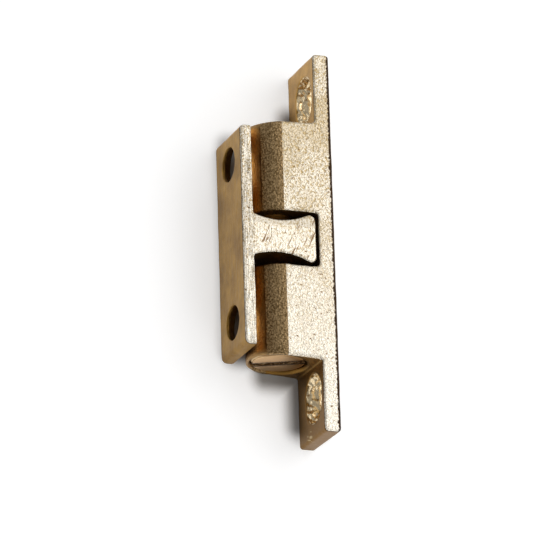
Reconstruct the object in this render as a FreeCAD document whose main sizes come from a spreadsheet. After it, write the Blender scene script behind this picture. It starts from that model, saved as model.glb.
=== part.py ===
"""Double ball catch in cast brass: a housing with two sprung balls, and a strike with a waisted tongue.

Frame: millimetres. X runs along the plates, -Y from the housing plate's back towards the strike, and Z across
the width, upwards when the catch lies on its side. The origin is the middle of the housing plate's back face.
"""
import FreeCAD, Part
import os

from FreeCAD import Vector
from Sketcher import Constraint

# Driving dimensions: the alias of each cell, its size in mm (angles in degrees) and what it measures.
SIZES = [
    ("plate_length", 50.0, "housing plate, end to end"),
    ("body_width", 9.0, "both castings, across"),
    ("plate_thickness", 2.2, "housing plate"),
    ("plate_corner", 0.45, "rounding of the plates' corners"),
    ("edge_round", 0.22, "worn edge of a casting"),
    ("block_length", 31.5, "both barrels, end to end at the plate"),
    ("draft", 3.5, "taper of the barrels' outer ends"),
    ("crease_drop", 0.7, "arc across the nose, short of a half circle"),
    ("gap_length", 7.03, "gap between the barrels"),
    ("gap_corner", 0.35, "rounding at the floor of the gap"),
    ("bore_height", 6.4, "plate back to the bores' axis"),
    ("nose_wall", 0.5, "barrel over the screw bore, at the top of the nose"),
    ("ball_diameter", 6.0, "ball"),
    ("ball_reach", 0.715, "how far a ball stands out into the gap"),
    ("ball_clearance", 0.08, "ball in its bore, radial"),
    ("lip_thickness", 0.45, "lip that keeps the ball in"),
    ("lip_clearance", 0.05, "ball in the mouth of the lip, radial"),
    ("seat_angle", 38.0, "cone behind the lip, from the bore's axis"),
    ("screw_diameter", 7.1, "adjusting screw over its thread"),
    ("screw_length", 3.0, "adjusting screw"),
    ("screw_clearance", 0.05, "adjusting screw in its bore, radial"),
    ("screw_recess", 0.15, "adjusting screw below the barrel's end"),
    ("screw_bevel", 0.3, "bevel round the screw's ends"),
    ("screw_travel", 1.0, "adjusting screw, from flush to hard in"),
    ("screw_end_gap", 0.1, "screw bore beyond the screw when it is hard in"),
    ("mouth_bevel", 0.25, "bevel at the mouth of the screw bore"),
    ("slot_width", 1.0, "screwdriver slot"),
    ("slot_depth", 1.1, "screwdriver slot"),
    ("slot_turn", 26.0, "screwdriver slot, turned from the plate's normal"),
    ("spring_wire", 0.45, "spring wire, diameter"),
    ("spring_clearance", 0.43, "spring in the ball's bore, radial"),
    ("spring_turns", 3.5, "turns of wire"),
    ("spring_seat", 0.05, "spring to the ball and to the screw"),
    ("fix_spacing", 39.7, "housing screw holes, centre to centre"),
    ("fix_offset", 0.9, "housing screw holes, off the plate's middle line"),
    ("fix_width", 3.4, "housing screw slot, across"),
    ("fix_slot", 1.35, "housing screw slot, longer than wide by"),
    ("fix_sink", 5.2, "housing countersink, across"),
    ("fix_sink_depth", 1.5, "housing countersink"),
    ("strike_length", 29.0, "strike plate"),
    ("strike_thickness", 1.55, "strike plate"),
    ("strike_gap", 0.31, "barrels to strike plate, closed"),
    ("strike_corner", 0.7, "rounding of the strike plate's outer ends"),
    ("strike_spacing", 21.0, "strike screw holes, centre to centre"),
    ("strike_hole", 4.45, "strike screw hole"),
    ("strike_sink", 6.8, "strike countersink, across"),
    ("strike_sink_angle", 90.0, "strike countersink, full angle"),
    ("tongue_waist", 4.38, "tongue, narrowest"),
    ("tongue_waist_height", 7.6, "plate back to the tongue's waist"),
    ("tongue_tip", 6.34, "tongue, widest"),
    ("tongue_tip_round", 0.8, "rounding of the tongue's tip"),
    ("tongue_floor_gap", 0.3, "tongue's tip to the floor of the gap"),
]

SIDES = (("a", -1), ("b", 1))

doc = FreeCAD.newDocument("ball_catch")
sheet = doc.addObject("Spreadsheet::Sheet", "Sizes")
for row, (alias, value, meaning) in enumerate(SIZES, start=1):
    sheet.set(f"A{row}", meaning)
    sheet.set(f"B{row}", str(value))
    sheet.setAlias(f"B{row}", alias)
doc.recompute()

# Places that several pieces share, worked out once from the sizes above.
DERIVED = [
    ("screw_bore", "screw_diameter / 2 + screw_clearance"),
    ("nose_height", "bore_height + screw_bore + nose_wall"),
    ("nose_rise", "body_width / 2 - crease_drop"),
    ("nose_radius", "((body_width / 2) ^ 2 + nose_rise ^ 2) / (2 * nose_rise)"),
    ("crease_height", "nose_height - nose_rise"),
    ("clear_above", "2 * nose_height"),
    ("thin_wall", "min(body_width / 2 - screw_bore; nose_wall)"),
    ("mouth_cut", "min(mouth_bevel; 0.5 * thin_wall)"),
    ("edge_cut", "min(edge_round; 0.45 * thin_wall)"),
    ("gap_end", "gap_length / 2"),
    ("ball_radius", "ball_diameter / 2"),
    ("ball_centre", "gap_end - ball_reach + ball_radius"),
    ("lip_back", "gap_end + lip_thickness"),
    ("lip_radius", "sqrt(ball_radius ^ 2 - (ball_centre - lip_back) ^ 2) + lip_clearance"),
    ("ball_bore", "ball_radius + ball_clearance"),
    ("seat_back", "lip_back + (ball_bore - lip_radius) / tan(seat_angle * 1 deg)"),
    ("block_end", "block_length / 2 - (bore_height - plate_thickness) * tan(draft * 1 deg)"),
    ("screw_out", "block_end - screw_recess"),
    ("screw_in", "screw_out - screw_length"),
    ("screw_bore_in", "screw_in - screw_travel - screw_end_gap"),
    ("coil_radius", "ball_bore - spring_clearance - spring_wire / 2"),
    ("spring_in", "ball_centre + sqrt((ball_radius + spring_wire / 2) ^ 2 - coil_radius ^ 2) + spring_seat"),
    ("spring_out", "screw_in - spring_wire / 2 - spring_seat"),
    ("strike_inner", "nose_height + strike_gap"),
    ("strike_outer", "strike_inner + strike_thickness"),
    ("tip_height", "plate_thickness + tongue_floor_gap"),
    ("tip_round_height", "tip_height + tongue_tip_round"),
    ("tip_round_centre", "tongue_tip / 2 - tongue_tip_round"),
    ("tip_rise", "tongue_waist_height - tip_round_height"),
    ("tip_overhang", "tip_round_centre - tongue_waist / 2"),
    ("hollow_reach", "tip_overhang ^ 2 + tip_rise ^ 2 - tongue_tip_round ^ 2"),
    ("hollow_radius", "hollow_reach / (2 * (tongue_tip_round + tip_overhang))"),
    ("hollow_centre", "tongue_waist / 2 + hollow_radius"),
    ("hollow_share", "tongue_tip_round / (hollow_radius + tongue_tip_round)"),
]
for row, (alias, formula) in enumerate(DERIVED, start=len(SIZES) + 2):
    sheet.set(f"B{row}", "=" + formula)
    sheet.setAlias(f"B{row}", alias)
    doc.recompute()


def size(alias):
    """The value of one cell, in mm or degrees."""
    value = getattr(sheet, alias)
    return float(getattr(value, "Value", value))


def cell(formula):
    """A formula of aliases as the document writes it, with each alias led by the sheet's name."""
    names = {name for name, *_ in SIZES + DERIVED}
    out = ""
    word = ""
    for letter in formula + " ":
        if letter.isalnum() or letter == "_":
            word += letter
            continue
        out += "Sizes." + word if word in names else word
        out += letter
        word = ""
    return out.strip()


def worked(formula):
    """The value of a formula of aliases."""
    value = sheet.evalExpression(cell(formula))
    return float(getattr(value, "Value", value))


def plane(body, role):
    """One of the body's own origin planes."""
    return next(o for o in body.Origin.OriginFeatures if o.Role == role)


def new_body(name):
    body = doc.addObject("PartDesign::Body", name)
    body.Label = name
    return body


def new_sketch(body, name, role, right=None, up=None, out=None, turn=None):
    """A sketch on one of the body's origin planes, moved along its own X and Y and its normal, and turned."""
    sketch = body.newObject("Sketcher::SketchObject", name)
    sketch.AttachmentSupport = [(plane(body, role), "")]
    sketch.MapMode = "FlatFace"
    for axis, formula in (("Base.x", right), ("Base.y", up), ("Base.z", out), ("Rotation.Angle", turn)):
        if formula:
            sketch.setExpression("AttachmentOffset." + axis, cell(formula))
    return sketch


def bind(sketch, constraint, formula):
    """Add a dimension and tie it to a formula of the sizes."""
    index = sketch.addConstraint(constraint)
    sketch.setExpression(f"Constraints[{index}]", cell(formula))


def arc_through(start, end, radius, bend):
    """The arc from start to end that bends left (bend 1) or right (-1), and whether it runs anticlockwise."""
    chord = end - start
    side = Vector(-chord.y, chord.x, 0).normalize() * bend
    sagitta_side = (radius**2 - (chord.Length / 2) ** 2) ** 0.5
    centre = (start + end) / 2 + side * sagitta_side
    first, last = (start, end) if bend > 0 else (end, start)
    circle = Part.Circle(centre, Vector(0, 0, 1), radius)
    return Part.ArcOfCircle(circle, circle.parameter(first), circle.parameter(last))


def draw(sketch, corners, arcs=None):
    """Draw a closed outline. Each corner is a pair of formulas. arcs gives (radius, bend) for the stretches
    that start at those corners and aren't straight; bend 1 turns left and -1 turns right."""
    arcs = arcs or {}
    points = [Vector(worked(x), worked(y), 0) for x, y in corners]
    first = sketch.GeometryCount
    for i, start in enumerate(points):
        end = points[(i + 1) % len(points)]
        if i in arcs:
            radius, bend = arcs[i]
            sketch.addGeometry(arc_through(start, end, worked(radius), bend), False)
        else:
            sketch.addGeometry(Part.LineSegment(start, end), False)

    def end_points(i):
        """The point numbers at which stretch i starts and ends: arcs always run anticlockwise."""
        return (2, 1) if i in arcs and arcs[i][1] < 0 else (1, 2)

    for i, (x, y) in enumerate(corners):
        here = end_points(i)[0]
        before = (i - 1) % len(corners)
        sketch.addConstraint(Constraint("Coincident", first + before, end_points(before)[1], first + i, here))
        bind(sketch, Constraint("DistanceX", first + i, here, points[i].x), x)
        bind(sketch, Constraint("DistanceY", first + i, here, points[i].y), y)
    for i, (radius, bend) in arcs.items():
        bind(sketch, Constraint("Radius", first + i, worked(radius)), radius)


def rectangle(sketch, left, low, right, high):
    draw(sketch, [(left, low), (right, low), (right, high), (left, high)])


def stadium(sketch, centre_x, centre_y, straight, radius):
    """Two half circles joined by straight sides of the given length along the sketch's X."""
    left, right = (f"{centre_x} {sign} ({straight}) / 2" for sign in "-+")
    low, high = (f"{centre_y} {sign} ({radius})" for sign in "-+")
    draw(
        sketch,
        [(left, low), (right, low), (f"{right} + {radius}", centre_y), (right, high), (left, high),
         (f"{left} - ({radius})", centre_y)],
        {1: (radius, 1), 2: (radius, 1), 4: (radius, 1), 5: (radius, 1)},
    )


def pad(body, sketch, length, name):
    """Extrude evenly to both sides of the sketch."""
    feature = body.newObject("PartDesign::Pad", name)
    feature.Profile = sketch
    feature.Midplane = True
    feature.setExpression("Length", cell(length))
    return feature


def turned(body, kind, sketch, name):
    """Revolve the sketch about its own X, as solid (Revolution) or as a cut (Groove)."""
    feature = body.newObject("PartDesign::" + kind, name)
    feature.Profile = sketch
    feature.ReferenceAxis = (sketch, ["H_Axis"])
    feature.Angle = 360
    return feature


def pocket(body, sketch, name, depth=None, through=False, midplane=False, taper=None):
    """Cut towards the back of the sketch, or to both sides of it."""
    feature = body.newObject("PartDesign::Pocket", name)
    feature.Profile = sketch
    feature.Reversed = False
    feature.Midplane = midplane
    if through:
        feature.Type = "ThroughAll"
    if depth:
        feature.setExpression("Length", cell(depth))
    if taper:
        feature.setExpression("TaperAngle", taper)
    return feature


def mirrored(body, features, name):
    """The same features on the other side of the plate's middle."""
    feature = body.newObject("PartDesign::Mirrored", name)
    feature.Originals = features
    feature.MirrorPlane = (plane(body, "YZ_Plane"), "")
    body.Tip = feature
    return feature


def dress(body, kind, name, wanted, setting, formula):
    """Round (Fillet, Radius) or bevel (Chamfer, Size) those edges of the body that the test wanted picks."""
    doc.recompute()
    base = body.Tip
    edges = [f"Edge{i}" for i, edge in enumerate(base.Shape.Edges, start=1) if wanted(edge)]
    feature = body.newObject("PartDesign::" + kind, name)
    feature.Base = (base, edges)
    feature.setExpression(setting, cell(formula))


def near(a, b):
    return abs(a - b) < 1e-4


def flat_at(edge, axis, value):
    """Whether the whole edge lies in the plane where the coordinate called axis has this value."""
    box = edge.BoundBox
    return near(getattr(box, axis + "Min"), value) and near(getattr(box, axis + "Max"), value)


def on_flat_side(edge):
    """Whether the edge lies in one of the two flat sides of a casting."""
    half_width = size("body_width") / 2
    return flat_at(edge, "Z", half_width) or flat_at(edge, "Z", -half_width)


def is_line(edge):
    return edge.Curve.TypeId == "Part::GeomLine"


def make_housing():
    """One casting: screw plate, two barrels with a gap between them, stepped bores and oval screw holes."""
    body = new_body("housing")

    outline = new_sketch(body, "plate_side", "XY_Plane")
    end, corner = "plate_length / 2", "plate_corner"
    draw(
        outline,
        [(f"-{end} + {corner}", "-plate_thickness"), (f"{end} - {corner}", "-plate_thickness"),
         (end, f"-plate_thickness + {corner}"), (end, f"-{corner}"), (f"{end} - {corner}", "0"),
         (f"-{end} + {corner}", "0"), (f"-{end}", f"-{corner}"), (f"-{end}", f"-plate_thickness + {corner}")],
        {1: (corner, 1), 3: (corner, 1), 5: (corner, 1), 7: (corner, 1)},
    )
    pad(body, outline, "body_width", "plate")

    side = new_sketch(body, "block_side", "XY_Plane")
    root = "block_length / 2"
    taper = "(nose_height - plate_thickness) * tan(draft * 1 deg)"
    draw(side, [(f"-{root}", "-plate_thickness"), (f"-{root} + {taper}", "-nose_height"),
                (f"{root} - {taper}", "-nose_height"), (root, "-plate_thickness")])
    pad(body, side, "body_width", "block")

    # The flat sides stop at the crease, and from there the nose is one arc across the width.
    nose = new_sketch(body, "nose_waste", "YZ_Plane")
    draw(
        nose,
        [("-crease_height", "-body_width / 2"), ("-crease_height", "-body_width"),
         ("-clear_above", "-body_width"), ("-clear_above", "body_width"),
         ("-crease_height", "body_width"), ("-crease_height", "body_width / 2"), ("-nose_height", "0")],
        {5: ("nose_radius", 1), 6: ("nose_radius", 1)},
    )
    pocket(body, nose, "nose", through=True, midplane=True)

    gap = new_sketch(body, "gap_side", "XY_Plane")
    floor, above_floor = "-plate_thickness", "-plate_thickness - gap_corner"
    draw(
        gap,
        [("-gap_end", "-clear_above"), ("gap_end", "-clear_above"), ("gap_end", above_floor),
         ("gap_end - gap_corner", floor), ("-gap_end + gap_corner", floor), ("-gap_end", above_floor)],
        {2: ("gap_corner", 1), 4: ("gap_corner", 1)},
    )
    pocket(body, gap, "gap", through=True, midplane=True)

    # One bore, from the open gap past its lip to the foot of the end face. The sketch's X is its axis.
    bore_side = new_sketch(body, "bore_side", "XY_Plane", up="-bore_height")
    draw(bore_side, [
        ("0", "0"), ("block_length / 2", "0"), ("block_length / 2", "screw_bore"),
        ("screw_bore_in", "screw_bore"), ("screw_bore_in", "ball_bore"), ("seat_back", "ball_bore"),
        ("lip_back", "lip_radius"), ("0", "lip_radius"),
    ])
    bore = turned(body, "Groove", bore_side, "bore")

    sink = new_sketch(body, "sink_outline", "XZ_Plane", out="plate_thickness")
    stadium(sink, "fix_spacing / 2", "fix_offset", "fix_slot", "fix_sink / 2")
    sink_angle = "atan((Sizes.fix_width - Sizes.fix_sink) / 2 / Sizes.fix_sink_depth)"
    sink_cut = pocket(body, sink, "sink", depth="fix_sink_depth", taper=sink_angle)

    slot = new_sketch(body, "slot_outline", "XZ_Plane", out="plate_thickness")
    stadium(slot, "fix_spacing / 2", "fix_offset", "fix_slot", "fix_width / 2")
    slot_cut = pocket(body, slot, "slot", through=True)
    mirrored(body, [bore, sink_cut, slot_cut], "other_half")

    def mouth(edge):
        """The ring where a bore leaves the tapered end face."""
        reach = 2 * size("screw_bore")
        across = edge.BoundBox.ZLength
        return abs(edge.CenterOfMass.x) > size("screw_in") and near(across, reach) and not is_line(edge)

    dress(body, "Chamfer", "mouth_bevels", mouth, "Size", "mouth_cut")

    def worn(edge):
        """The outlines of both flat sides without the crease, and the ends of the noses."""
        on_crease = flat_at(edge, "Y", -size("crease_height"))
        foot, top = -edge.BoundBox.YMax, -edge.BoundBox.YMin
        nose_end = near(foot, size("crease_height")) and near(top, size("nose_height"))
        return (on_flat_side(edge) and not on_crease) or (nose_end and not is_line(edge))

    dress(body, "Fillet", "worn_edges", worn, "Radius", "edge_cut")
    return body


def make_strike():
    """One casting: screw plate and waisted tongue, drawn as one outline and cut to width."""
    body = new_body("strike")
    outline = new_sketch(body, "strike_side", "XY_Plane")
    end, corner = "strike_length / 2", "strike_corner"
    inner, outer = "-strike_inner", "-strike_outer"
    # The hollow flank starts at the plate and turns into the rounded tip where the two arcs touch.
    root = "(hollow_centre - sqrt(hollow_radius ^ 2 - (strike_inner - tongue_waist_height) ^ 2))"
    turn_x = "(tip_round_centre + hollow_share * (hollow_centre - tip_round_centre))"
    turn_y = "(-tip_round_height - hollow_share * tip_rise)"
    hollow = "hollow_radius"
    right = [
        (root, inner, hollow, -1),
        (turn_x, turn_y, "tongue_tip_round", 1),
        ("tip_round_centre", "-tip_height", None, 0),
    ]
    corners = [(f"-{end}", f"{outer} + {corner}"), (f"-{end} + {corner}", outer),
               (f"{end} - {corner}", outer), (end, f"{outer} + {corner}"), (end, inner)]
    arcs = {0: (corner, 1), 2: (corner, 1)}
    for x, y, radius, bend in right:
        if radius:
            arcs[len(corners)] = (radius, bend)
        corners.append((x, y))
    mirror = [(f"-({x})", y) for x, y, *_ in reversed(right)]
    arcs[len(corners)] = ("tongue_tip_round", 1)
    arcs[len(corners) + 1] = (hollow, -1)
    corners += mirror + [(f"-{end}", inner)]
    draw(outline, corners, arcs)
    pad(body, outline, "body_width", "plate_and_tongue")
    return body


def strike_holes(body):
    """Two screw holes, countersunk on the side that faces the housing."""
    centres = new_sketch(body, "hole_centres", "XZ_Plane", out="strike_inner")
    for _, side in SIDES:
        place = Vector(side * size("strike_spacing") / 2, 0, 0)
        circle = centres.addGeometry(Part.Circle(place, Vector(0, 0, 1), size("strike_hole") / 2), False)
        bind(centres, Constraint("DistanceX", circle, 3, place.x), f"{side} * strike_spacing / 2")
        centres.addConstraint(Constraint("PointOnObject", circle, 3, -1))
        bind(centres, Constraint("Diameter", circle, size("strike_hole")), "strike_hole")
    doc.recompute()
    holes = body.newObject("PartDesign::Hole", "screw_holes")
    holes.Profile = centres
    holes.Reversed = True
    holes.DepthType = "ThroughAll"
    holes.setExpression("Diameter", cell("strike_hole"))
    holes.HoleCutType = "Countersink"
    holes.setExpression("HoleCutDiameter", cell("strike_sink"))
    holes.setExpression("HoleCutCountersinkAngle", cell("strike_sink_angle"))

    dress(body, "Fillet", "worn_edges", on_flat_side, "Radius", "edge_cut")


def make_ball(letter, side):
    ball = doc.addObject("Part::Sphere", "ball_" + letter)
    ball.setExpression("Radius", cell("ball_radius"))
    ball.setExpression("Placement.Base.x", cell(f"{side} * ball_centre"))
    ball.setExpression("Placement.Base.y", cell("-bore_height"))
    return ball


def turn_to(body, side):
    """Pieces are made for the +X barrel; half a turn about Y takes them to the other one."""
    if side < 0:
        body.Placement = FreeCAD.Placement(Vector(0, 0, 0), FreeCAD.Rotation(Vector(0, 1, 0), 180))


def make_adjuster(letter, side):
    """Slotted grub screw, bevelled at both ends."""
    body = new_body("adjuster_" + letter)
    outline = new_sketch(body, f"screw_side_{letter}", "XY_Plane", up="-bore_height")
    radius = "screw_diameter / 2"
    draw(outline, [
        ("screw_in", "0"), ("screw_out", "0"), ("screw_out", f"{radius} - screw_bevel"),
        ("screw_out - screw_bevel", radius), ("screw_in + screw_bevel", radius),
        ("screw_in", f"{radius} - screw_bevel"),
    ])
    turned(body, "Revolution", outline, f"screw_{letter}")
    slot = new_sketch(
        body, f"slot_end_{letter}", "YZ_Plane", right="-bore_height", out="screw_out", turn="slot_turn"
    )
    rectangle(slot, "-screw_diameter", "-slot_width / 2", "screw_diameter", "slot_width / 2")
    pocket(body, slot, f"slot_{letter}", depth="slot_depth")
    turn_to(body, side)
    return body


def make_spring(letter, side):
    """Round wire wound from the ball's back to the adjusting screw."""
    body = new_body("spring_" + letter)
    wire = new_sketch(body, f"wire_{letter}", "XY_Plane", up="-bore_height")
    place = Vector(size("spring_in"), size("coil_radius"), 0)
    circle = wire.addGeometry(Part.Circle(place, Vector(0, 0, 1), size("spring_wire") / 2), False)
    bind(wire, Constraint("DistanceX", circle, 3, place.x), "spring_in")
    bind(wire, Constraint("DistanceY", circle, 3, place.y), "coil_radius")
    bind(wire, Constraint("Diameter", circle, size("spring_wire")), "spring_wire")
    coil = body.newObject("PartDesign::AdditiveHelix", f"coil_{letter}")
    coil.Profile = wire
    coil.ReferenceAxis = (wire, ["H_Axis"])
    coil.Mode = "height-turns-angle"
    coil.setExpression("Height", cell("spring_out - spring_in"))
    coil.setExpression("Turns", cell("spring_turns"))
    turn_to(body, side)
    return body


housing = make_housing()
strike = make_strike()
strike_holes(strike)
pieces = [housing, strike]
for letter, side in SIDES:
    pieces += [make_ball(letter, side), make_spring(letter, side), make_adjuster(letter, side)]
doc.recompute()

CUTS = ("PartDesign::Pocket", "PartDesign::Groove", "PartDesign::Hole")
for o in doc.Objects:
    if "Invalid" in o.State or "Error" in o.State:
        raise RuntimeError(f"{o.Name} failed: {o.State}")
    if o.TypeId in CUTS and o.Shape.Volume >= o.BaseFeature.Shape.Volume:
        raise RuntimeError(f"{o.Name} takes nothing away")
for piece in pieces:
    shape = piece.Shape
    if shape.isNull() or not shape.isValid() or len(shape.Solids) != 1 or shape.Volume <= 0:
        raise RuntimeError(f"{piece.Label} isn't one valid solid")

os.makedirs("parts", exist_ok=True)
for piece in pieces:
    box = piece.Shape.optimalBoundingBox()
    low, high = ([round(v, 2) for v in corner] for corner in
                 ((box.XMin, box.YMin, box.ZMin), (box.XMax, box.YMax, box.ZMax)))
    print(f"{piece.Label}: {piece.Shape.Volume:.1f} mm3, from {low} to {high}")
    piece.Shape.exportStep(f"parts/{piece.Label}.step")
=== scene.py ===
"""Looks of the double ball catch: cast and turned brass, coil springs, a white table and soft studio light."""
import math

import bmesh
import bpy
from mathutils import Matrix, Vector, noise
from mathutils.bvhtree import BVHTree


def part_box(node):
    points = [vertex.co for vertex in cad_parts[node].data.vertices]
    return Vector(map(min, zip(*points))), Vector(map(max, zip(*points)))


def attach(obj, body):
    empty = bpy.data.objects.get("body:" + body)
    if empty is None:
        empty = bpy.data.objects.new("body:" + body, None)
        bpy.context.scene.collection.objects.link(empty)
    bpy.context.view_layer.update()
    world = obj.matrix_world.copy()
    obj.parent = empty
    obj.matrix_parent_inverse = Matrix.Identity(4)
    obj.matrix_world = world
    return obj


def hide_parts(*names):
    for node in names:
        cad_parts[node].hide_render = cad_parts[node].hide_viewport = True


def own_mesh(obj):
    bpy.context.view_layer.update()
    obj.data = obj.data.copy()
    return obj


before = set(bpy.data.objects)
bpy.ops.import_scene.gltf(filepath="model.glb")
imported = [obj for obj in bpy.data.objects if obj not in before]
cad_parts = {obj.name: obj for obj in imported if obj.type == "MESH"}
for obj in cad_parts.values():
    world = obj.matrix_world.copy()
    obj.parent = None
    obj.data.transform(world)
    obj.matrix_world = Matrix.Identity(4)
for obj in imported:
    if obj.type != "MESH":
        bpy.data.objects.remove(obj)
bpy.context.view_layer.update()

MM = 0.001

# Sizes of the castings that their surfaces follow, in mm. The housing's back lies at y 0, the bores' axis at z 0.
HALF_WIDTH = 4.5
PLATE_FRONT = -2.2
CREASE = -6.7
BORE_Y = -6.4
BORE_RADIUS = 3.6
STRIKE_INNER = -10.81
STRIKE_END = 14.5
HOLE_X = 19.85
HOLE_Z = 0.9
HOLE_SLOT_HALF = 0.675
SINK_RADIUS = 2.6
BLOCK_END = 15.75
# The adjusting screws, from x SCREW_IN to SCREW_OUT, in mm.
SCREW_IN = 12.34
SCREW_OUT = 15.34
SCREW_CREST = 3.55
SCREW_ROOT = 3.32
SCREW_CHAMFER = 0.12
THREAD_PITCH = 0.5
THREAD_INSET = 0.3
SLOT_WIDTH = 1.0
SLOT_DEPTH = 1.1
SLOT_TURN = math.radians(26)
ADVANCE_TRAVEL = 1.0
# The springs, from x SPRING_IN to SPRING_OUT, in mm. The wire's ends stop a little short of both.
WIRE_RADIUS = 0.225
COIL_RADIUS = 2.425
SPRING_IN = 7.75
SPRING_OUT = 12.29
END_PLAY = WIRE_RADIUS / 5
TIGHT_PITCH = 0.468
LOOSE_PITCH = 1.499
PRESS_TRAVEL = 1.45
# Ball, spring and screw a are in the upper barrel, and those named b in the lower one.
SIDES = (("a", -1), ("b", 1))


def linear(code):
    """A linear colour with alpha from a six-digit sRGB code."""
    parts = [int(code[i:i + 2], 16) / 255 for i in (0, 2, 4)]
    return tuple(c / 12.92 if c <= 0.04045 else ((c + 0.055) / 1.055) ** 2.4 for c in parts) + (1.0,)


def add(tree, kind, inputs=None, **settings):
    """Add a shader node with its settings. An input is a value, a socket, or a node that gives its first socket."""
    made = tree.nodes.new("ShaderNode" + kind)
    for name, value in settings.items():
        setattr(made, name, value)
    for name, value in (inputs or {}).items():
        if isinstance(value, bpy.types.Node):
            value = next(socket for socket in value.outputs if socket.enabled)
        if isinstance(value, bpy.types.NodeSocket):
            tree.links.new(value, made.inputs[name])
        else:
            made.inputs[name].default_value = value
    return made


def new_material(name):
    """An empty material, with its node tree and its Object coordinates."""
    material = bpy.data.materials.new(name)
    material.use_nodes = True
    tree = material.node_tree
    tree.nodes.clear()
    return material, tree, add(tree, "TexCoord").outputs["Object"]


def finish_metal(tree, colour, roughness, height, depth):
    """End a material as a metal of this colour and roughness, with its relief depth mm deep."""
    bump = add(tree, "Bump", {"Height": height, "Distance": depth * MM, "Strength": 1.0})
    shader = add(tree, "BsdfPrincipled", {
        "Base Color": colour, "Metallic": 1.0, "Roughness": roughness, "Normal": bump,
    })
    add(tree, "OutputMaterial", {"Surface": shader})


# Colours of unlacquered cast yellow brass. Its flat sides are pebbly. They are painted bright and the rest browner:
# painted light on the sides, which face the softbox, and painted shade on the faces turned from it.
BRIGHT = linear("f8f1e3")
GOLD = linear("b9a277")
PIT = linear("80603a")
BRONZE = linear("82602c")
BROWN_BRONZE = linear("7c5a28")
PALE_BRONZE = linear("d0a458")
SMUDGE = linear("765526")
SCUFF = linear("c09850")
OLIVE = linear("bfa176")
UMBER = linear("6b5330")
HONEY = linear("f5dfb6")
EDGE_DARK = linear("382819")
# The next five colours paint the strike's reflection along the barrels' noses, a painted reflection, and the plain
# brown past the strike's ends.
DARK_LINE = linear("5a3d1c")
BROWN = linear("9a7340")
ORANGE = linear("cf8d42")
AMBER = linear("e0a050")
NOSE_END = linear("a07f52")

# Sizes of the castings' patterns, in mm. The pebbles and the pits are as large as they look on the catch.
GRAIN_MM = 0.27
PIT_MM = 0.40
SMUDGE_MM = 1.3
CLOUD_MM = 4.0
STREAK_MM = 0.45
SCRATCH_MM = 0.30
# The bite of the sand, the file lines and the nicks are nearer 0.05 mm, and are drawn coarser so that they show.
FINE_MM = 0.13
NOSE_SAND_MM = 0.22
FILE_LINE_MM = 0.14
NICK_MM = 0.16
CAST_RELIEF = 0.10

# How far in from the sides of the catch the painted bright side colour and the dark edge line reach, in mm. Both
# wander a little.
PLATE_RIM = 0.26
BARREL_RIM = 0.50
RIM_FADE = 0.08
RIM_WANDER = 0.16
EDGE_DARK_IN = 0.40
EDGE_DARK_OUT = 0.30
# Places along the catch in mm. Its sides are painted brighter from about its middle to its lower end, a painted
# highlight.
DULL_END = -20
HIGHLIGHT_START = -8
HIGHLIGHT_END = 18
FACE_END = 24
BALL_SIDE = -1.5
NICK_PLACE = Vector((24.3, PLATE_FRONT, -0.8))
# The painted reflection of the strike on the barrels' noses lies between these heights, in mm.
NOSE_REFLECTION_EDGE = -9.15
NOSE_TIP = -10.5


def pebbled_side(tree, x, grain, clouds, pits, is_strike):
    """Bright tops and golden valleys between the pebbles, partly tumbled bright and partly painted light and shade,
    duller in patches, and painted brighter toward the lower end, a painted highlight.
    """
    lower_highlight = add(tree, "MapRange", {
        "Value": x, "From Min": HIGHLIGHT_START * MM, "From Max": HIGHLIGHT_END * MM, "To Max": 0.75})
    tops = add(tree, "MapRange", {
        "Value": grain, "From Min": 0.36, "From Max": 0.52 if is_strike else 0.54, "To Min": lower_highlight,
    }, interpolation_type="SMOOTHSTEP")
    dull = add(tree, "MapRange", {
        "Value": clouds, "From Min": 0.60, "From Max": 0.40, "To Min": 0.40, "To Max": 0.74,
    }, interpolation_type="SMOOTHSTEP")
    dull_away_from_highlight = add(tree, "MapRange", {
        "Value": x, "From Min": DULL_END * MM, "From Max": HIGHLIGHT_END * MM, "To Min": 1.0, "To Max": 0.15})
    dull = add(tree, "Math", {0: dull, 1: dull_away_from_highlight}, operation="MULTIPLY")
    if is_strike:
        dull = add(tree, "Math", {0: dull, 1: 0.6}, operation="MULTIPLY")
    side = add(tree, "Mix", {"Factor": tops, "A": GOLD, "B": BRIGHT}, data_type="RGBA")
    side = add(tree, "Mix", {"Factor": dull, "A": side, "B": GOLD}, data_type="RGBA")
    return add(tree, "Mix", {"Factor": pits, "A": side, "B": PIT}, data_type="RGBA")


def strike_faces(tree, clouds, smudges, beside_ball):
    """Satin bronze as painted shade, with scuffs and a few large darker smudges. Beside ball a the tongue is
    painted paler, painted light for the ball to reflect.
    """
    faces = add(tree, "Mix", {"Factor": smudges, "A": BRONZE, "B": SCUFF}, data_type="RGBA")
    handled = add(tree, "MapRange", {"Value": clouds, "From Min": 0.48, "From Max": 0.68, "To Max": 0.6})
    faces = add(tree, "Mix", {"Factor": handled, "A": faces, "B": SMUDGE}, data_type="RGBA")
    return add(tree, "Mix", {"Factor": beside_ball, "A": faces, "B": GOLD}, data_type="RGBA")


def housing_faces(tree, x, smudges):
    """Satin bronze as painted shade, and paler toward the upper end, a painted reflection."""
    painted_light_toward_top = add(tree, "MapRange", {"Value": x, "From Min": FACE_END * MM, "From Max": -FACE_END * MM})
    faces = add(tree, "Mix", {"Factor": painted_light_toward_top, "A": BROWN_BRONZE, "B": PALE_BRONZE}, data_type="RGBA")
    return add(tree, "Mix", {"Factor": smudges, "A": faces, "B": BRONZE}, data_type="RGBA")


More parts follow.
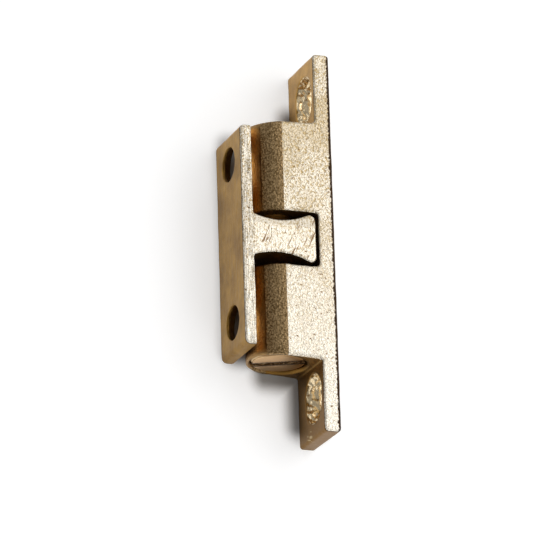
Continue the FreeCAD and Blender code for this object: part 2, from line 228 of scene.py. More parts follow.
def tongue_scratches(tree, place, on_tongue):
    """Where a few stray scratches run aslant over the tongue."""
    aslant = add(tree, "Mapping", {
        "Vector": place, "Rotation": (0, 0, -0.42), "Scale": (9.0, 1.0, 1.0)}, vector_type="TEXTURE")
    strokes = add(tree, "TexNoise", {"Vector": aslant, "Scale": 1 / (SCRATCH_MM * MM), "Detail": 1.0})
    strokes = add(tree, "MapRange", {"Value": strokes, "From Min": 0.635, "From Max": 0.69, "To Max": 0.9})
    return add(tree, "Math", {0: strokes, 1: on_tongue}, operation="MULTIPLY")


def nose_skin(tree, place, x, y):
    """Rough olive brown, partly painted shade, and along the top of the nose a painted reflection of the strike in
    orange.
    """
    sand = add(tree, "TexNoise", {
        "Vector": place, "Scale": 1 / (NOSE_SAND_MM * MM), "Detail": 3.0, "Roughness": 0.7})
    sand = add(tree, "MapRange", {"Value": sand, "From Min": 0.41, "From Max": 0.60})
    nose = add(tree, "Mix", {"Factor": sand, "A": UMBER, "B": OLIVE}, data_type="RGBA")
    inner = add(tree, "MapRange", {"Value": y, "From Min": NOSE_REFLECTION_EDGE * MM, "From Max": NOSE_TIP * MM})
    is_inner = add(tree, "Math", {0: inner, 1: 0.001}, operation="GREATER_THAN")
    # The stripe wanders and breaks along the nose.
    along = add(tree, "Mapping", {"Vector": place, "Scale": (0.3, 1.0, 1.0)})
    streaks = add(tree, "TexNoise", {
        "Vector": along, "Scale": 1 / (STREAK_MM * MM), "Detail": 2.0, "Roughness": 0.6})
    streaks = add(tree, "Math", {0: streaks, 1: -0.5}, operation="ADD")
    inner = add(tree, "Math", {0: streaks, 1: 0.45, 2: inner}, operation="MULTIPLY_ADD")
    strike_reflection = add(tree, "ValToRGB", {"Fac": inner})
    strike_reflection.color_ramp.elements[0].color = DARK_LINE
    strike_reflection.color_ramp.elements[1].color = DARK_LINE
    for at, shade in ((0.16, BROWN), (0.42, ORANGE), (0.62, AMBER), (0.80, BROWN)):
        strike_reflection.color_ramp.elements.new(at).color = shade
    # Past the ends of the strike the painted reflection gives way to plain brown.
    aside = add(tree, "Math", {0: x}, operation="ABSOLUTE")
    past_strike = add(tree, "MapRange", {
        "Value": aside, "From Min": STRIKE_END * MM, "From Max": (STRIKE_END + 0.5) * MM})
    strike_reflection = add(tree, "Mix", {"Factor": past_strike, "A": strike_reflection, "B": NOSE_END}, data_type="RGBA")
    return add(tree, "Mix", {"Factor": is_inner, "A": nose, "B": strike_reflection}, data_type="RGBA")


def in_countersinks(tree, x, y, z):
    """One inside the housing's oval countersinks and screw slots, and zero elsewhere."""
    aside = add(tree, "Math", {0: x}, operation="ABSOLUTE")
    aside = add(tree, "Math", {0: aside, 1: -HOLE_X * MM}, operation="ADD")
    aside = add(tree, "Math", {0: aside}, operation="ABSOLUTE")
    aside = add(tree, "Math", {0: aside, 1: -HOLE_SLOT_HALF * MM}, operation="ADD")
    aside = add(tree, "Math", {0: aside, 1: 0.0}, operation="MAXIMUM")
    across = add(tree, "Math", {0: z, 1: -HOLE_Z * MM}, operation="ADD")
    flat = add(tree, "CombineXYZ", {"X": aside, "Y": across})
    reach = add(tree, "VectorMath", {0: flat}, operation="LENGTH").outputs["Value"]
    inside = add(tree, "MapRange", {
        "Value": reach, "From Min": (SINK_RADIUS + 0.02) * MM, "From Max": (SINK_RADIUS - 0.12) * MM,
    }, interpolation_type="SMOOTHSTEP")
    below_front = add(tree, "Math", {0: y, 1: (PLATE_FRONT + 0.05) * MM}, operation="GREATER_THAN")
    inside = add(tree, "Math", {0: inside, 1: below_front}, operation="MULTIPLY")
    above_back = add(tree, "Math", {0: y, 1: -0.1 * MM}, operation="LESS_THAN")
    return add(tree, "Math", {0: inside, 1: above_back}, operation="MULTIPLY")


def plate_nicks(tree, place):
    """Where a few short bright nicks lie by the plate's lower corner."""
    from_nicks = add(tree, "VectorMath", {0: place, 1: NICK_PLACE * MM}, operation="DISTANCE").outputs["Value"]
    near = add(tree, "MapRange", {"Value": from_nicks, "From Min": 0.95 * MM, "From Max": 0.60 * MM})
    aslant = add(tree, "Mapping", {
        "Vector": place, "Rotation": (0, -1.26, 0), "Scale": (7.0, 1.0, 1.0)}, vector_type="TEXTURE")
    nicks = add(tree, "TexNoise", {"Vector": aslant, "Scale": 1 / (NICK_MM * MM), "Detail": 0.0})
    nicks = add(tree, "MapRange", {"Value": nicks, "From Min": 0.56, "From Max": 0.62})
    return add(tree, "Math", {0: nicks, 1: near}, operation="MULTIPLY")


def back_edge_dark_line(tree, y, depth, specks):
    """The uneven dark line along the long edges of the plate's back."""
    behind = add(tree, "Math", {0: specks, 1: 0.6 * MM, 2: y}, operation="MULTIPLY_ADD")
    at_back = add(tree, "MapRange", {"Value": behind, "From Min": -0.18 * MM, "From Max": -0.08 * MM})
    outermost = add(tree, "MapRange", {
        "Value": depth, "From Min": (HALF_WIDTH - 0.30) * MM, "From Max": (HALF_WIDTH - 0.20) * MM})
    return add(tree, "Math", {0: at_back, 1: outermost}, operation="MULTIPLY")


def cast_brass(name, is_strike):
    """Sand-cast brass. Its flat sides are pebbly, with dark pits, and glint, and are painted cream-gold as painted
    light. Its other faces are satin and painted bronze as painted shade, with a thin dark line where they meet the
    sides, and the barrels' noses are rough and olive, their darkness partly painted shade."""
    material, tree, place = new_material(name)
    x, y, z = add(tree, "SeparateXYZ", {0: place}).outputs
    grain = add(tree, "TexNoise", {
        "Vector": place, "Scale": 1 / (GRAIN_MM * MM), "Detail": 2.0, "Roughness": 0.5, "Distortion": 0.6})
    fine = add(tree, "TexNoise", {"Vector": place, "Scale": 1 / (FINE_MM * MM), "Detail": 1.0})
    clouds = add(tree, "TexNoise", {"Vector": place, "Scale": 1 / (CLOUD_MM * MM), "Detail": 3.0})
    smudges = add(tree, "TexNoise", {
        "Vector": place, "Scale": 1 / (SMUDGE_MM * MM), "Detail": 3.0, "Roughness": 0.6})
    specks = add(tree, "TexNoise", {"Vector": place, "Scale": 1 / (PIT_MM * MM), "Detail": 2.0})
    pits = add(tree, "MapRange", {
        "Value": specks, "From Min": 0.35, "From Max": 0.27}, interpolation_type="SMOOTHSTEP")

    # The side's skin ends at a wandering distance from the middle of the catch.
    wander = add(tree, "Math", {0: specks, 1: RIM_WANDER * MM}, operation="MULTIPLY")
    depth = add(tree, "Math", {0: z}, operation="ABSOLUTE")
    depth = add(tree, "Math", {0: depth, 1: wander}, operation="SUBTRACT")
    on_plate = 1.0
    rim = (HALF_WIDTH - PLATE_RIM) * MM
    if not is_strike:
        # On the rims of the barrels and of the gap the bright side colour reaches further round than on the plate,
        # a painted highlight on their rounded rims.
        on_plate = add(tree, "Math", {0: y, 1: (PLATE_FRONT - 0.15) * MM}, operation="GREATER_THAN")
        rim = add(tree, "MapRange", {
            "Value": on_plate, "To Min": (HALF_WIDTH - BARREL_RIM) * MM, "To Max": (HALF_WIDTH - PLATE_RIM) * MM})
    past_rim = add(tree, "Math", {0: depth, 1: rim}, operation="SUBTRACT")
    on_side = add(tree, "MapRange", {
        "Value": past_rim, "From Max": RIM_FADE * MM}, interpolation_type="SMOOTHSTEP")
    near_edge = add(tree, "MapRange", {
        "Value": depth, "From Min": (HALF_WIDTH - EDGE_DARK_IN) * MM, "From Max": (HALF_WIDTH - EDGE_DARK_OUT) * MM,
    }, interpolation_type="SMOOTHSTEP")
    near_edge = add(tree, "Math", {0: near_edge, 1: on_plate}, operation="MULTIPLY")

    rough = add(tree, "MapRange", {"Value": on_side, "To Min": 0.40, "To Max": 0.26})
    if is_strike:
        on_tongue = add(tree, "Math", {0: y, 1: STRIKE_INNER * MM}, operation="GREATER_THAN")
        # Beside ball a the tongue is painted paler and made rougher: painted light, so that the ball shows a paler
        # reflection.
        beside_ball = add(tree, "Math", {0: x, 1: BALL_SIDE * MM}, operation="LESS_THAN")
        beside_ball = add(tree, "Math", {0: beside_ball, 1: on_tongue}, operation="MULTIPLY")
        faces = strike_faces(tree, clouds, smudges, beside_ball)
        rough = add(tree, "Math", {0: beside_ball, 1: 0.22, 2: rough}, operation="MULTIPLY_ADD")
    else:
        faces = housing_faces(tree, x, smudges)
    faces = add(tree, "Mix", {"Factor": near_edge, "A": faces, "B": EDGE_DARK}, data_type="RGBA")
    side = pebbled_side(tree, x, grain, clouds, pits, is_strike)
    colour = add(tree, "Mix", {"Factor": on_side, "A": faces, "B": side}, data_type="RGBA")
    pebbles = add(tree, "MapRange", {"Value": on_side, "To Min": 0.12, "To Max": 1.0})
    relief = add(tree, "Math", {0: grain, 1: pebbles}, operation="MULTIPLY")

    if is_strike:
        relief = add(tree, "Math", {0: relief, 1: 0.65}, operation="MULTIPLY")
        # The file that dressed the plate's edge left lines along it, and fainter ones on the tongue.
        along = add(tree, "Mapping", {"Vector": place, "Scale": (0.05, 1.0, 1.0)})
        lines = add(tree, "TexNoise", {"Vector": along, "Scale": 1 / (FILE_LINE_MM * MM), "Detail": 1.0})
        filed = add(tree, "MapRange", {"Value": on_tongue, "To Min": 1.4, "To Max": 0.3})
        relief = add(tree, "Math", {0: lines, 1: filed, 2: relief}, operation="MULTIPLY_ADD")
        scratches = tongue_scratches(tree, place, on_tongue)
        colour = add(tree, "Mix", {"Factor": scratches, "A": colour, "B": PIT}, data_type="RGBA")
    else:
        on_nose = add(tree, "MapRange", {
            "Value": y, "From Min": (CREASE + 0.04) * MM, "From Max": (CREASE - 0.04) * MM,
        }, interpolation_type="SMOOTHSTEP")
        nose = nose_skin(tree, place, x, y)
        colour = add(tree, "Mix", {"Factor": on_nose, "A": colour, "B": nose}, data_type="RGBA")
        nose_relief = add(tree, "Math", {0: grain, 1: on_nose}, operation="MULTIPLY")
        relief = add(tree, "Math", {0: relief, 1: nose_relief}, operation="MAXIMUM")
        # The crumbs of metal in the countersinks are painted honey yellow, a painted highlight for their glints,
        # with dark pits between.
        in_sink = in_countersinks(tree, x, y, z)
        crumbs = add(tree, "Mix", {"Factor": pits, "A": HONEY, "B": PIT}, data_type="RGBA")
        colour = add(tree, "Mix", {"Factor": in_sink, "A": colour, "B": crumbs}, data_type="RGBA")
        shine = add(tree, "MapRange", {"Value": in_sink, "To Min": 1.0, "To Max": 0.55})
        rough = add(tree, "Math", {0: rough, 1: shine}, operation="MULTIPLY")
        nicks = plate_nicks(tree, place)
        colour = add(tree, "Mix", {"Factor": nicks, "A": colour, "B": GOLD}, data_type="RGBA")
        back_dark_line = back_edge_dark_line(tree, y, depth, specks)
        colour = add(tree, "Mix", {"Factor": back_dark_line, "A": colour, "B": EDGE_DARK}, data_type="RGBA")
    relief = add(tree, "Math", {0: fine, 1: 0.25, 2: relief}, operation="MULTIPLY_ADD")
    finish_metal(tree, colour, rough, relief, CAST_RELIEF)
    return material


# Colours of the adjusting screws, and sizes of their patterns in mm.
TURNED_DARK = linear("c29c6e")
TURNED_PALE = linear("dab688")
# The slot's walls are painted bright, a painted highlight, and the deeper slot and thread are painted dark, painted
# shade.
SLOT_WALL_HIGHLIGHT = linear("f2d6a8")
RECESS_SHADE = linear("6b4a26")
TORN_LIP = linear("543a20")
HATCH = linear("664626")
TURNED_CLOUD_MM = 1.5
RAGGED_MM = 0.20
HATCH_MM = 0.22
# Turning and filing leave lines nearer 0.03 mm, drawn coarser so that they show.
TURNED_LINE_MM = 0.13


def turned_brass():
    """Turned and filed yellow brass, dulled by handling. Fine lines run along the slot, whose lips are torn and
    dark. Just below the face the slot's walls are painted bright, a painted highlight, and deeper in the slot and
    thread are painted dark, painted shade."""
    material, tree, place = new_material("turned_brass")
    turned = add(tree, "Mapping", {
        "Vector": place, "Rotation": (SLOT_TURN, 0, 0), "Scale": (1.0, 12.0, 1.0)}, vector_type="TEXTURE")
    lines = add(tree, "TexNoise", {"Vector": turned, "Scale": 1 / (TURNED_LINE_MM * MM), "Detail": 1.0})
    clouds = add(tree, "TexNoise", {"Vector": place, "Scale": 1 / (TURNED_CLOUD_MM * MM)})
    colour = add(tree, "Mix", {"Factor": clouds, "A": TURNED_DARK, "B": TURNED_PALE}, data_type="RGBA")
    from_middle = add(tree, "SeparateXYZ", {0: place}).outputs["X"]
    from_middle = add(tree, "Math", {0: from_middle}, operation="ABSOLUTE")
    # Painted highlight just below the face, and painted shade deeper in.
    wall_highlight = add(tree, "MapRange", {
        "Value": from_middle, "From Min": (SCREW_OUT - 0.03) * MM, "From Max": (SCREW_OUT - 0.08) * MM})
    colour = add(tree, "Mix", {"Factor": wall_highlight, "A": colour, "B": SLOT_WALL_HIGHLIGHT}, data_type="RGBA")
    painted_recess_shade = add(tree, "MapRange", {
        "Value": from_middle, "From Min": (SCREW_OUT - 0.20) * MM, "From Max": (SCREW_OUT - 0.45) * MM,
        "To Max": 0.85})
    colour = add(tree, "Mix", {"Factor": painted_recess_shade, "A": colour, "B": RECESS_SHADE}, data_type="RGBA")
    # An uneven dark line runs along each lip, with faint hatching beside it.
    beside = add(tree, "Mapping", {
        "Vector": place, "Location": (0, BORE_Y * MM, 0), "Rotation": (SLOT_TURN, 0, 0)}, vector_type="TEXTURE")
    across = add(tree, "SeparateXYZ", {0: beside}).outputs["Z"]
    across = add(tree, "Math", {0: across}, operation="ABSOLUTE")
    ragged = add(tree, "TexNoise", {"Vector": place, "Scale": 1 / (RAGGED_MM * MM), "Detail": 1.0})
    ragged = add(tree, "Math", {0: ragged, 1: -0.70 * MM, 2: across}, operation="MULTIPLY_ADD")
    lip = add(tree, "MapRange", {"Value": ragged, "From Min": 0.46 * MM, "From Max": 0.38 * MM})
    at_face = add(tree, "MapRange", {
        "Value": from_middle, "From Min": (SCREW_OUT - 0.12) * MM, "From Max": (SCREW_OUT - 0.06) * MM,
        "To Max": 0.9})
    lip = add(tree, "Math", {0: lip, 1: at_face}, operation="MULTIPLY")
    colour = add(tree, "Mix", {"Factor": lip, "A": colour, "B": TORN_LIP}, data_type="RGBA")
    near_slot = add(tree, "MapRange", {
        "Value": across, "From Min": 1.1 * MM, "From Max": 0.6 * MM, "To Max": 0.5})
    hatching = add(tree, "Mapping", {"Vector": beside, "Scale": (1.0, 1.0, 0.25)})
    hatching = add(tree, "TexNoise", {"Vector": hatching, "Scale": 1 / (HATCH_MM * MM), "Detail": 1.0})
    hatching = add(tree, "MapRange", {"Value": hatching, "From Min": 0.43, "From Max": 0.52})
    torn = add(tree, "Math", {0: near_slot, 1: hatching}, operation="MULTIPLY")
    colour = add(tree, "Mix", {"Factor": torn, "A": colour, "B": HATCH}, data_type="RGBA")
    finish_metal(tree, colour, roughness=0.38, height=lines, depth=0.03)
    return material


# Colours of the balls and of the springs, and sizes of their patterns in mm.
BALL_PALE = linear("f6dca4")
BALL_TARNISH = linear("e0a95c")
WIRE_GREY = linear("85837f")
WIRE_BRIGHT = linear("b9b8b4")
TARNISH_MM = 1.8
DENT_MM = 0.3
WIRE_CLOUD_MM = 0.8
# The die leaves marks nearer 0.02 mm, drawn coarser so that they show.
DIE_MARK_MM = 0.08


def ball_brass():
    """Polished yellow brass: pale gold, tarnished to orange in patches 2 mm wide, with soft highlights."""
    material, tree, place = new_material("ball_brass")
    clouds = add(tree, "TexNoise", {"Vector": place, "Scale": 1 / (TARNISH_MM * MM)})
    dents = add(tree, "TexNoise", {"Vector": place, "Scale": 1 / (DENT_MM * MM)})
    colour = add(tree, "Mix", {"Factor": clouds, "A": BALL_PALE, "B": BALL_TARNISH}, data_type="RGBA")
    finish_metal(tree, colour, roughness=0.30, height=dents, depth=0.004)
    return material


def spring_steel():
    """Drawn spring steel wire: grey with brighter patches, and a fine unevenness from the die."""
    material, tree, place = new_material("spring_steel")
    clouds = add(tree, "TexNoise", {"Vector": place, "Scale": 1 / (WIRE_CLOUD_MM * MM)})
    drawn = add(tree, "TexNoise", {"Vector": place, "Scale": 1 / (DIE_MARK_MM * MM)})
    colour = add(tree, "Mix", {"Factor": clouds, "A": WIRE_GREY, "B": WIRE_BRIGHT}, data_type="RGBA")
    finish_metal(tree, colour, roughness=0.32, height=drawn, depth=0.004)
    return material


def finished(piece, body, slot, material, *nodes):
    """Give a piece its material and its body, and let it stand for its nodes. The slot is not used."""
    piece.data.materials.clear()
    piece.data.materials.append(material)
    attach(piece, body)
    if nodes:
        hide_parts(*nodes)


def new_piece(name, bm):
    """A smooth mesh object at the origin. The bmesh is freed."""
    for face in bm.faces:
        face.smooth = True
    mesh = bpy.data.meshes.new(name)
    bm.to_mesh(mesh)
    bm.free()
    piece = bpy.data.objects.new(name, mesh)
    bpy.context.scene.collection.objects.link(piece)
    return piece


def after_modifiers(piece):
    """The piece's mesh with its modifiers applied, as a new bmesh. The piece itself is removed."""
    graph = bpy.context.evaluated_depsgraph_get()
    mesh = bpy.data.meshes.new_from_object(piece.evaluated_get(graph))
    bm = bmesh.new()
    bm.from_mesh(mesh)
    bpy.data.objects.remove(piece)
    bpy.data.meshes.remove(mesh)
    return bm


# Heights and widths in mm of the waves that the sand left, and of the crumbs of metal in the countersinks.
HOUSING_WAVES = ((0.035, 2.2), (0.012, 0.6))
STRIKE_WAVES = ((0.025, 2.5), (0.008, 0.6))
CRUMBS = ((0.30, 0.62), (0.10, 0.32))
# How far in from the sides of the catch the rims are worn round, in mm.
BARREL_WORN = 0.6
STRIKE_WORN = 0.4


def from_hole(place):
    """Distance in mm from the centre line of a housing screw slot, seen along the screw."""
    aside = max(abs(abs(place.x) - HOLE_X) - HOLE_SLOT_HALF, 0.0)
    return math.hypot(aside, place.z - HOLE_Z)


def unevenness(place, waves):
    """Height in mm at a place of waves, each given as its height and its width."""
    return sum(height * noise.noise(place / width) for height, width in waves)


def housing_relief(place):
    """How far the sand left the housing's skin out of true at a place, both in mm. The bores stay true, and the
    crumbs in the countersinks fade away toward the plate's back."""
    if abs(place.x) < BLOCK_END + 0.2 and math.hypot(place.y - BORE_Y, place.z) < BORE_RADIUS + 0.1:
        return 0.0
    if place.y > PLATE_FRONT + 0.1 and from_hole(place) < SINK_RADIUS:
        fade = min(max(-0.15 - place.y, 0.0), 1.0)
        return unevenness(place, HOUSING_WAVES) + fade * unevenness(place, CRUMBS)
    return unevenness(place, HOUSING_WAVES)


def strike_relief(place):
    """How far the strike's skin is out of true at a place, both in mm."""
    return unevenness(place, STRIKE_WAVES)


def on_barrel_rim(place):
    """Whether a place in mm is where the flat sides of the barrels and of the gap between them end."""
    return abs(place.z) > HALF_WIDTH - BARREL_WORN and CREASE + 0.4 < place.y < PLATE_FRONT - 0.2


def on_strike_rim(place):
    """Whether a place in mm is where the strike's flat sides end."""
    return abs(place.z) > HALF_WIDTH - STRIKE_WORN


def round_edges(bm, verts, times):
    """Round a mesh's edges at these vertices."""
    for _ in range(times):
        bmesh.ops.smooth_vert(bm, verts=verts, factor=0.5, use_axis_x=True, use_axis_y=True, use_axis_z=True)


def add_casting(node, voxel, is_worn, wear, relief, material):
    """The node's skin as a sand casting: even faces voxel mm wide, rounded edges, the rims worn rounder still, and
    an uneven surface. It stays inside the node's box."""
    bm = bmesh.new()
    bm.from_mesh(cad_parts[node].data)
    bmesh.ops.remove_doubles(bm, verts=bm.verts, dist=1e-6)
    true_skin = BVHTree.FromBMesh(bm)
    piece = new_piece(node + "_rough", bm)
    remesh = piece.modifiers.new("small_faces", "REMESH")
    remesh.mode = "VOXEL"
    remesh.voxel_size = voxel * MM
    bm = after_modifiers(piece)
    for vert in bm.verts:
        vert.co = true_skin.find_nearest(vert.co)[0]
    round_edges(bm, bm.verts, 2)
    round_edges(bm, [vert for vert in bm.verts if is_worn(vert.co / MM)], wear)
    bm.normal_update()
    low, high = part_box(node)
    for vert in bm.verts:
        vert.co += vert.normal * relief(vert.co / MM) * MM
        for axis in range(3):
            vert.co[axis] = min(max(vert.co[axis], low[axis]), high[axis])
    finished(new_piece(node + "_casting", bm), node, "cast_brass", material, node)


def along_bore(x):
    """A place on a barrel's centre line, in metres, from its x in mm."""
    return Vector((x, BORE_Y, 0)) * MM


# Steps round a screw and in each turn of its thread. The cutter for its slot is longer than the screw is wide,
# and is cut up finely so that it can tear the lips.
ROUND_STEPS = 96
THREAD_STEPS = 48
CUTTER_LENGTH = 9
CUTTER_CUTS = 56
# How wide and how deep the lips of the slots are torn, in mm.
TEAR_WIDTH = 0.24
TEAR_DEPTH = 0.12


def add_adjuster(letter, side, material):
    """Grub screw: a core with chamfered ends, a thread ridge wound on it, and a slot with torn lips."""
    out = side * SCREW_OUT
    middle = along_bore(side * (SCREW_IN + SCREW_OUT) / 2)
    lie_down = Matrix.Rotation(side * math.pi / 2, 4, "Y")
    core = bmesh.new()
    bmesh.ops.create_cone(
        core, cap_ends=True, segments=ROUND_STEPS, radius1=SCREW_ROOT * MM, radius2=SCREW_ROOT * MM,
        depth=(SCREW_OUT - SCREW_IN) * MM, matrix=Matrix.Translation(middle) @ lie_down)
    rims = [edge for edge in core.edges if abs(edge.verts[0].co.x - edge.verts[1].co.x) < 1e-7]
    bmesh.ops.bevel(
        core, geom=rims, offset=SCREW_CHAMFER * MM, segments=2, affect="EDGES", profile=0.5, material=-1)
    core = new_piece("core", core)

    ridge = bmesh.new()
    first = side * (SCREW_IN + THREAD_INSET)
    turns = (SCREW_OUT - SCREW_IN - 2 * THREAD_INSET) / THREAD_PITCH
    bmesh.ops.create_circle(
        ridge, segments=4, radius=(SCREW_CREST - SCREW_ROOT) * MM,
        matrix=Matrix.Translation(along_bore(first) + Vector((0, SCREW_ROOT * MM, 0))))
    steps = int(turns * THREAD_STEPS)
    bmesh.ops.spin(
        ridge, geom=ridge.edges, cent=along_bore(first), axis=(1, 0, 0), angle=turns * math.tau, steps=steps,
        dvec=(side * turns * THREAD_PITCH * MM / steps, 0, 0))
    bmesh.ops.holes_fill(ridge, edges=[edge for edge in ridge.edges if edge.is_boundary])
    bmesh.ops.recalc_face_normals(ridge, faces=ridge.faces)
    ridge = new_piece("ridge", ridge)

    cutter = bmesh.new()
    turn = Matrix.Rotation(SLOT_TURN, 4, "X")
    shape = Matrix.Diagonal((2 * SLOT_DEPTH * MM, CUTTER_LENGTH * MM, SLOT_WIDTH * MM, 1))
    bmesh.ops.create_cube(cutter, size=1.0, matrix=Matrix.Translation(along_bore(out)) @ turn @ shape)
    bmesh.ops.subdivide_edges(cutter, edges=cutter.edges, cuts=CUTTER_CUTS, use_grid_fill=True)
    across = turn @ Vector((0, 0, 1))
    for vert in cutter.verts:
        torn = noise.noise(vert.co / MM / TEAR_WIDTH + Vector((side, 0, 0)))
        vert.co += across * (TEAR_DEPTH * MM * torn)
    cutter = new_piece("cutter", cutter)

    bm = bmesh.new()
    for part in (core, ridge):
        slot = part.modifiers.new("slot", "BOOLEAN")
        slot.operation = "DIFFERENCE"
        slot.solver = "EXACT"
        slot.object = cutter
        cut = after_modifiers(part)
        mesh = bpy.data.meshes.new("cut")
        cut.to_mesh(mesh)
        cut.free()
        bm.from_mesh(mesh)
        bpy.data.meshes.remove(mesh)
    bpy.data.objects.remove(cutter)
    piece = new_piece("adjuster_" + letter + "_screw", bm)
    piece.data.set_sharp_from_angle(angle=math.radians(35))
    finished(piece, "adjuster_" + letter, "turned_brass", material, "adjuster_" + letter)


# Steps in each turn of a spring, and sides of its wire.
COIL_STEPS = 40
WIRE_SIDES = 12


def add_spring(letter, side, material):
    """Compression spring with closed end coils, wound as one wire in two lengths, because its ends are pressed by
    different pieces: the first length is attached to the ball, and the second to the spring."""
    x = SPRING_IN + END_PLAY
    angle = 0.0
    lengths = (
        ("ball", "ball_", "_press", PRESS_TRAVEL, SPRING_IN, ((0.75, TIGHT_PITCH), (1.5, LOOSE_PITCH))),
        ("screw", "adjuster_", "_advance", ADVANCE_TRAVEL, SPRING_OUT, ((1.0, LOOSE_PITCH), (0.75, TIGHT_PITCH))),
    )
    for end, mover, motion, travel, held, windings in lengths:
        bm = bmesh.new()
        bmesh.ops.create_circle(
            bm, segments=WIRE_SIDES, radius=WIRE_RADIUS * MM,
            matrix=Matrix.Translation(along_bore(side * x)) @ Matrix.Rotation(angle, 4, "X")
            @ Matrix.Translation((0, COIL_RADIUS * MM, 0)))
        wire = list(bm.edges)
        for turns, pitch in windings:
            steps = round(turns * COIL_STEPS)
            made = bmesh.ops.spin(
                bm, geom=wire, cent=along_bore(0), axis=(1, 0, 0), angle=turns * math.tau, steps=steps,
                dvec=(side * turns * pitch * MM / steps, 0, 0))
            wire = [item for item in made["geom_last"] if isinstance(item, bmesh.types.BMEdge)]
            x += turns * pitch
            angle += turns * math.tau
        bmesh.ops.holes_fill(bm, edges=[edge for edge in bm.edges if edge.is_boundary])
        bmesh.ops.recalc_face_normals(bm, faces=bm.faces)
        piece = new_piece("spring_" + letter + "_" + end + "_end", bm)
        if end == "ball":
            finished(piece, "ball_" + letter, "spring_steel", material)
        else:
            finished(piece, "spring_" + letter, "spring_steel", material, "spring_" + letter)
        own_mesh(piece)


add_casting(
    "housing", voxel=0.16, is_worn=on_barrel_rim, wear=12, relief=housing_relief,
    material=cast_brass("housing_cast_brass", is_strike=False))
add_casting(
    "strike", voxel=0.13, is_worn=on_strike_rim, wear=3, relief=strike_relief,
    material=cast_brass("strike_cast_brass", is_strike=True))
balls = ball_brass()
screws = turned_brass()
wire_metal = spring_steel()
for letter, side in SIDES:
    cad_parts["ball_" + letter].material_slots[0].material = balls
    add_adjuster(letter, side, screws)
    add_spring(letter, side, wire_metal)


# The camera looks down on the catch as it lies on its side. Measured from the corners of the plates.
CAMERA_PLACE = Vector((177.70, -194.46, 481.30)) * MM
PICTURE_RIGHT = Vector((0.02911, 0.93504, 0.35333))
VIEW = Vector((-0.32034, 0.34357, -0.88280))
SENSOR = 36.0
FOCAL_PIXELS = 4334.5
PICTURE_PIXELS = 540


def add_camera():
    """The photo's camera, with PICTURE_RIGHT level in the picture."""
    data = bpy.data.cameras.new("camera")
    data.sensor_width = SENSOR
    data.lens = FOCAL_PIXELS / PICTURE_PIXELS * SENSOR
    data.clip_start = 0.05
    data.clip_end = 10
    camera = bpy.data.objects.new("camera", data)
    back = -VIEW.normalized()
    up = back.cross(PICTURE_RIGHT).normalized()
    right = up.cross(back)
    camera.matrix_world = Matrix.Translation(CAMERA_PLACE) @ Matrix((right, up, back)).transposed().to_4x4()
    bpy.context.scene.collection.objects.link(camera)
    bpy.context.scene.camera = camera


# A softbox stands above the catch, toward the housing's back. A smaller one stands lower, beyond the lower end.
LIGHT_FROM = Vector((-0.30, 0.62, 0.72)).normalized()
LIGHT_DISTANCE = 0.7
LIGHT_SIZE = 0.55
LIGHT_RADIANCE = 1.0
RIM_FROM = Vector((0.87, 0.34, 0.33)).normalized()
RIM_SIZE = 0.40
RIM_RADIANCE = 1.4


def add_light(name, direction, distance, size, radiance):
    """A square softbox that faces the catch and looks as bright as radiance, where 1 is white."""
    data = bpy.data.lights.new(name, "AREA")
    data.shape = "SQUARE"
    data.size = size
    data.energy = radiance * math.pi * size ** 2
    lamp = bpy.data.objects.new(name, data)
    lamp.location = direction * distance
    lamp.rotation_mode = "QUATERNION"
    lamp.rotation_quaternion = direction.to_track_quat("Z", "Y")
    bpy.context.scene.collection.objects.link(lamp)


def add_world():
    """A pale studio, darker on the side away from the softbox."""
    world = bpy.data.worlds.new("studio")
    bpy.context.scene.world = world
    world.use_nodes = True
    tree = world.node_tree
    tree.nodes.clear()
    direction = add(tree, "TexCoord").outputs["Generated"]
    facing = add(tree, "VectorMath", {0: direction, 1: LIGHT_FROM}, operation="DOT_PRODUCT").outputs["Value"]
    level = add(tree, "MapRange", {
        "Value": facing, "From Min": 0.1, "From Max": 0.95, "To Min": 0.30, "To Max": 0.80,
    }, interpolation_type="SMOOTHSTEP")
    background = add(tree, "Background", {"Color": (1, 1, 1, 1), "Strength": level})
    add(tree, "OutputWorld", {"Surface": background})


FLOOR_HALF = 3.0
FLOOR_LIFT = 0.52
# The table's lift fades and its colour darkens near the catch, a painted shadow, as far out as this in mm.
LIFT_REACH = 2.9
DARK_REACH = 1.8
# Middle and half size in mm of what lies on the table, round which the shadow is painted: the plate, both barrels,
# and the lower barrel's wider foot.
FOOTPRINTS = (
    ((1.5, -1.1, 0), (20.5, 1.1, 9)),
    ((-0.8, -5.25, 0), (13.8, 5.25, 9)),
    ((8, -3.3, 0), (8, 3.3, 9)),
)


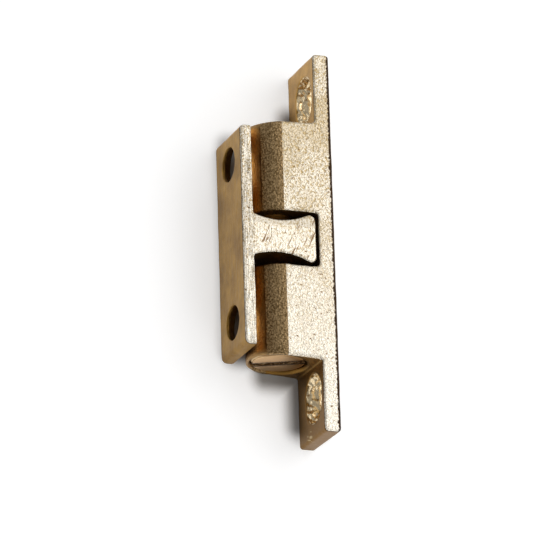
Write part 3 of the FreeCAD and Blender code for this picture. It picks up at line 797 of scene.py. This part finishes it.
def add_floor():
    """White matt table. What the camera and the metal see of it is lifted to white, and the shadow stays. Near the
    catch the lift fades and the colour darkens, a painted shadow.
    """
    bm = bmesh.new()
    bmesh.ops.create_grid(bm, x_segments=1, y_segments=1, size=FLOOR_HALF)
    bmesh.ops.translate(bm, verts=bm.verts, vec=(0, 0, -HALF_WIDTH * MM))
    floor = new_piece("floor", bm)
    material, tree, place = new_material("white_table")
    path = add(tree, "LightPath")
    seen = add(tree, "Math", {
        0: path.outputs["Is Camera Ray"], 1: path.outputs["Is Glossy Ray"]}, operation="MAXIMUM")
    seen = add(tree, "Math", {0: seen, 1: path.outputs["Is Transmission Ray"]}, operation="MAXIMUM")
    reach = []
    for middle, half in FOOTPRINTS:
        offset = add(tree, "VectorMath", {0: place, 1: Vector(middle) * MM}, operation="SUBTRACT")
        offset = add(tree, "VectorMath", {0: offset}, operation="ABSOLUTE")
        offset = add(tree, "VectorMath", {0: offset, 1: Vector(half) * MM}, operation="SUBTRACT")
        offset = add(tree, "VectorMath", {0: offset, 1: (0, 0, 0)}, operation="MAXIMUM")
        reach.append(add(tree, "VectorMath", {0: offset}, operation="LENGTH").outputs["Value"])
    away = add(tree, "Math", {0: reach[0], 1: reach[1]}, operation="MINIMUM")
    away = add(tree, "Math", {0: away, 1: reach[2]}, operation="MINIMUM")
    # The lift fades near the catch: a painted shadow.
    lift = add(tree, "MapRange", {
        "Value": away, "From Min": 0.2 * MM, "From Max": LIFT_REACH * MM, "To Min": 0.0, "To Max": FLOOR_LIFT,
    }, interpolation_type="SMOOTHSTEP")
    lift = add(tree, "Math", {0: seen, 1: lift}, operation="MULTIPLY")
    glow = add(tree, "Emission", {"Strength": lift})
    # The table's colour darkens near the catch: a painted shadow.
    shade = add(tree, "MapRange", {
        "Value": away, "From Max": DARK_REACH * MM, "To Min": 0.5, "To Max": 0.8,
    }, interpolation_type="SMOOTHSTEP")
    matt = add(tree, "BsdfDiffuse", {"Color": shade})
    both = add(tree, "AddShader", {0: matt, 1: glow})
    add(tree, "OutputMaterial", {"Surface": both})
    floor.data.materials.append(material)


add_camera()
add_light("softbox", LIGHT_FROM, LIGHT_DISTANCE, LIGHT_SIZE, LIGHT_RADIANCE)
add_light("rim_light", RIM_FROM, LIGHT_DISTANCE, RIM_SIZE, RIM_RADIANCE)
add_world()
add_floor()
bpy.context.scene.view_settings.view_transform = "Standard"
